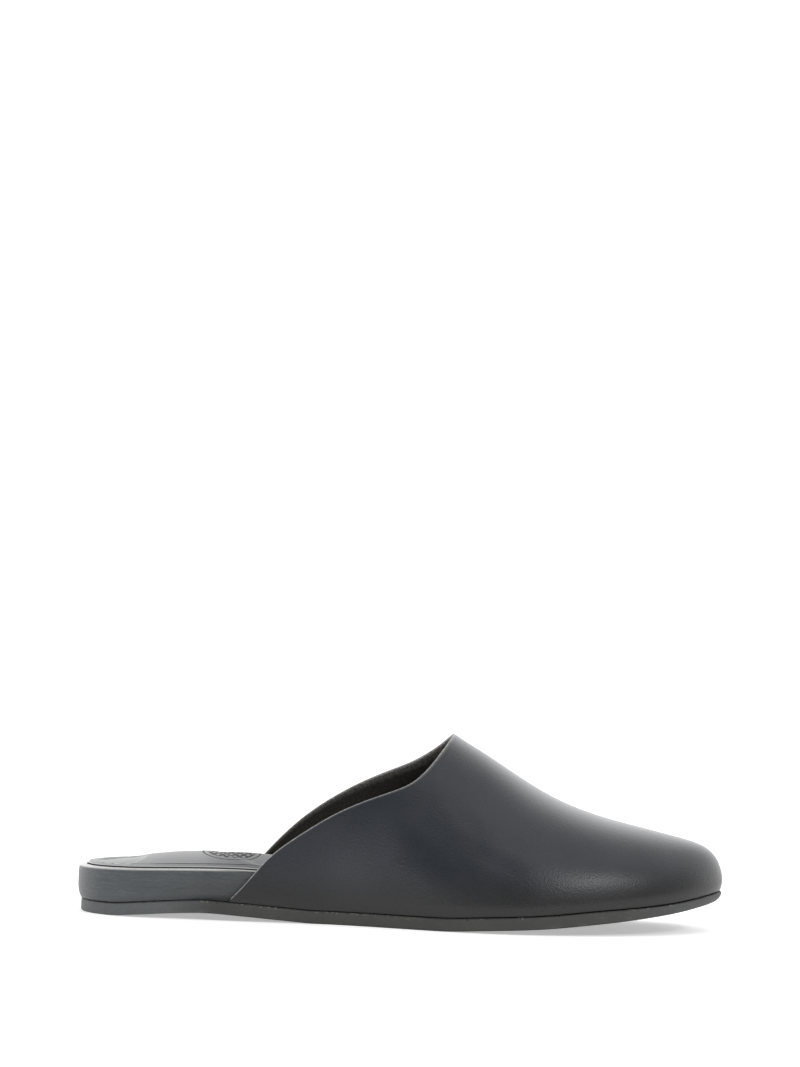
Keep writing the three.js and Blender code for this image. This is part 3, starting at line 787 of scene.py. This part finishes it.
def creased(grid):
    """How deep the soft creases lie at each point of the grid."""
    y, z = grid[..., 1], grid[..., 2]
    side = np.where(grid[..., 0] > ridge_x(y), 1, -1)
    depth = np.zeros(y.shape)
    for (y0, z0), (y1, z1), of_side, width, deep in CREASES:
        along = ((y - y0) * (y1 - y0) + (z - z0) * (z1 - z0)) / ((y1 - y0) ** 2 + (z1 - z0) ** 2)
        off = np.hypot(y - y0 - along * (y1 - y0), z - z0 - along * (z1 - z0))
        ends = blend(along, -0.25, 0.1) * blend(-along, -1.3, -0.9)
        fade = np.exp(-((2 * along.clip(0, 1) - 1) ** 4)) * ends
        depth += deep * np.exp(-((off / width) ** 2)) * fade * (side == of_side)
    return depth


def bottom_normal(grid):
    """Level outward direction along the bottom edge."""
    along = np.gradient(grid[:, 0, :2], axis=0)
    level = np.stack([along[:, 1], -along[:, 0], 0 * along[:, 0]], -1)
    return level / np.linalg.norm(level, axis=1)[:, None]


def vamp_finish():
    material, start, at = new_material("upper_leather")
    inside = start.mark("inside")
    cut = start.mark("cut")
    foot = start.mark("foot")
    cloud = at.noise(38, detail=3)
    small_cloud = at.noise(7, detail=3)
    grain = at.cells(0.9)
    fine = at.noise(0.6, detail=2, rough=0.6)
    fibre = at.noise(0.9, detail=5, rough=0.75)
    # Navy dye over black, bluer in soft clouds. Along the foot it is painted darker, neutral and a little
    # browner: painted shade.
    colour = cloud.clamp(0.35, 0.65).tint((0.0145, 0.0185, 0.024), (0.0225, 0.0265, 0.034))
    colour = (small_cloud.clamp(0.3, 0.7) * 0.3).tint(colour, (0.024, 0.024, 0.029))
    colour = (foot * 0.85).tint(colour, (0.014, 0.013, 0.012))
    flesh = fibre.clamp(0.3, 0.75).tint((0.011, 0.0095, 0.007), (0.040, 0.034, 0.027))
    colour = inside.tint(colour, flesh)
    # The cut edge is paler: frayed fibres, lightened further with a painted highlight.
    fuzz = cut * (0.35 + 0.65 * fibre.clamp(0.35, 0.65))
    colour = fuzz.tint(colour, (0.36, 0.355, 0.345))
    rough = (0.22 + 0.10 * fine + 0.08 * cloud + 0.08 * foot) * (1 - inside) + 0.95 * inside
    raised = (0.052 * grain + 0.045 * fine) * (1 - inside) + 0.5 * fibre * inside
    sockets = {"Base Color": colour, "Roughness": rough, "Normal": raised.bump(1.0)}
    finish(start, sockets, {"Specular IOR Level": 0.42})
    return material


def make_upper():
    grid = upper_grid()
    normal = last_normal(grid)
    normal[:, 0] = bottom_normal(grid)
    low = np.clip(1 - (grid[..., 2] - upper_bottom(grid[..., 1])) / OVERHANG_HEIGHT, 0, 1)
    level = normal * (1, 1, 0)
    level /= np.linalg.norm(level, axis=-1, keepdims=True).clip(1e-6)
    outside = grid - level * (overhang(grid[..., 1]) * low**2)[..., None]
    outside = outside - normal * creased(grid)[..., None]
    inside = outside - normal * UPPER_WALL
    # The cut edge: square with soft corners, standing a little past the last row.
    past = outside[:, -1] - outside[:, -1 - len(EDGE_ROWS)]
    past /= np.linalg.norm(past, axis=1)[:, None]
    corner = np.linspace(0, 1, 9)[1:-1]
    proud = CUT_CORNER * (1 - np.abs(2 * corner - 1) ** 3)
    cut = outside[:, -1:] - normal[:, -1:] * (UPPER_WALL * corner)[None, :, None]
    cut = cut + past[:, None] * proud[None, :, None]
    skin = Skin()
    frayed_out, frayed_in = np.zeros(UP_STEPS + 1), np.zeros(UP_STEPS + 1)
    frayed_out[-2:] = 0.35, 1
    frayed_in[-3:] = 0.35, 0.8, 1
    # Painted shade: how near a point lies to the bottom edge, to darken the leather there.
    foot = 1 - blend(outside[..., 2] - upper_bottom(outside[..., 1]), 2, 22)
    a = skin.add(outside, inside=0, cut=frayed_out, foot=foot)
    b = skin.add(cut, inside=0.5, cut=1)
    c = skin.add(inside[:, ::-1], inside=1, cut=frayed_in[::-1])
    rows = np.concatenate([a, b, c], 1)
    rows = np.concatenate([rows, rows[:, :1]], 1)
    skin.grid(rows[::-1])
    for end, flip in ((0, False), (-1, True)):
        # The wings' corners are closed from their outside row to their inside row.
        out_row = np.concatenate([a[end], b[end, : len(corner) // 2 + 1]])
        in_row = np.concatenate([c[end, ::-1], b[end, : len(corner) // 2 - 1 : -1]])
        closing = np.stack([out_row, in_row])
        skin.grid(closing if flip else closing[::-1])
    piece = skin.build("upper_vamp", vamp_finish())
    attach(piece, "root")
    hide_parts("upper")


make_upper()

# ---------------------------------------------------------------------------------------------
# Studio: a plain pale floor that runs on for metres, a room round it that is bright behind the
# shoe and dark low down in front, a weak wide sun, a soft panel at each end, and a long lens a
# little above the shoe, rolled two degrees.
# ---------------------------------------------------------------------------------------------
CAMERA = {"away": 2.30, "along": 0.1372, "up": 0.2008}
CAMERA_TURN = {"dip": math.radians(0.7), "roll": math.radians(2.0)}
FOCAL = {"sensor": 24.0, "lens": 115.86}
ROOM = {"far": (1.9,) * 3, "above": (0.62,) * 3, "near_low": (0.18,) * 3, "near_high": (1.05,) * 3}
FLOOR_GLOW = 0.42
SUN = {"strength": 0.3, "angle": 80}
PANELS = {  # azimuth and height in degrees, distance and size in metres, brightness
    "left_panel": (-36, 8, 2.2, (1.9, 0.45), 1.5),
    "right_panel": (42, 34, 2.0, (0.72, 0.32), 13.0),
}


def make_floor():
    bpy.ops.mesh.primitive_plane_add(size=60, location=(0, 0, 0))
    floor = bpy.context.object
    floor.name = "floor"
    material, start, at = new_material("floor_white")
    tone = at.noise(900, detail=2).tint((0.80, 0.80, 0.80), (0.83, 0.83, 0.83))
    glow = {"Emission Color": (1.0, 1.0, 1.0, 1), "Emission Strength": FLOOR_GLOW}
    finish(start, {"Base Color": tone}, {"Roughness": 0.9, "Specular IOR Level": 0.1, **glow})
    floor.data.materials.append(material)


def add_panel(name, azimuth, height, away, size, white):
    """A soft panel seen from the shoe at an azimuth from +X and a height, both in degrees."""
    azimuth, height = math.radians(azimuth), math.radians(height)
    level = math.cos(height)
    toward = Vector((math.cos(azimuth) * level, math.sin(azimuth) * level, math.sin(height)))
    light = bpy.data.lights.new(name, "AREA")
    light.shape, light.size, light.size_y = "RECTANGLE", *size
    light.energy = white * math.pi * size[0] * size[1]
    lamp = bpy.data.objects.new(name, light)
    facing = toward.to_track_quat("Z", "Y").to_matrix().to_4x4()
    lamp.matrix_world = Matrix.Translation(toward * away) @ facing
    lamp.visible_camera = False
    bpy.context.scene.collection.objects.link(lamp)


def make_room():
    world = bpy.data.worlds.new("white_room")
    bpy.context.scene.world = world
    world.use_nodes = True
    world.node_tree.nodes.clear()
    start = Wire(world.node_tree)
    toward = start.node("TexCoord", out=0)
    forward, rise = toward.part(0), toward.part(2)
    white = rise.clamp(0.5, 1.0).tint(ROOM["far"], ROOM["above"])
    near = rise.clamp(0.42, 0.92).tint(ROOM["near_low"], ROOM["near_high"])
    white = forward.clamp(-0.42, 0.34).tint(white, near)
    light = start.node("Background", None, {"Color": white, "Strength": 1.0})
    start.node("OutputWorld", None, {"Surface": light})
    bpy.context.scene.view_settings.view_transform = "Standard"


def add_sun(name, strength, angle):
    light = bpy.data.lights.new(name, "SUN")
    light.energy, light.angle = strength, math.radians(angle)
    lamp = bpy.data.objects.new(name, light)
    bpy.context.scene.collection.objects.link(lamp)


def make_camera():
    data = bpy.data.cameras.new("camera")
    data.sensor_fit, data.sensor_height, data.lens = "VERTICAL", FOCAL["sensor"], FOCAL["lens"]
    data.clip_start, data.clip_end = 0.05, 200
    camera = bpy.data.objects.new("camera", data)
    level = Matrix.Rotation(math.pi / 2, 4, "Z") @ Matrix.Rotation(math.pi / 2 - CAMERA_TURN["dip"], 4, "X")
    place = (CAMERA["away"] + shift_x * MM, CAMERA["along"] + shift_y * MM, CAMERA["up"])
    camera.matrix_world = Matrix.Translation(place) @ Matrix.Rotation(CAMERA_TURN["roll"], 4, "X") @ level
    bpy.context.scene.collection.objects.link(camera)
    bpy.context.scene.camera = camera


make_floor()
make_room()
add_sun("overhead", **SUN)
for name, panel in PANELS.items():
    add_panel(name, *panel)
make_camera()
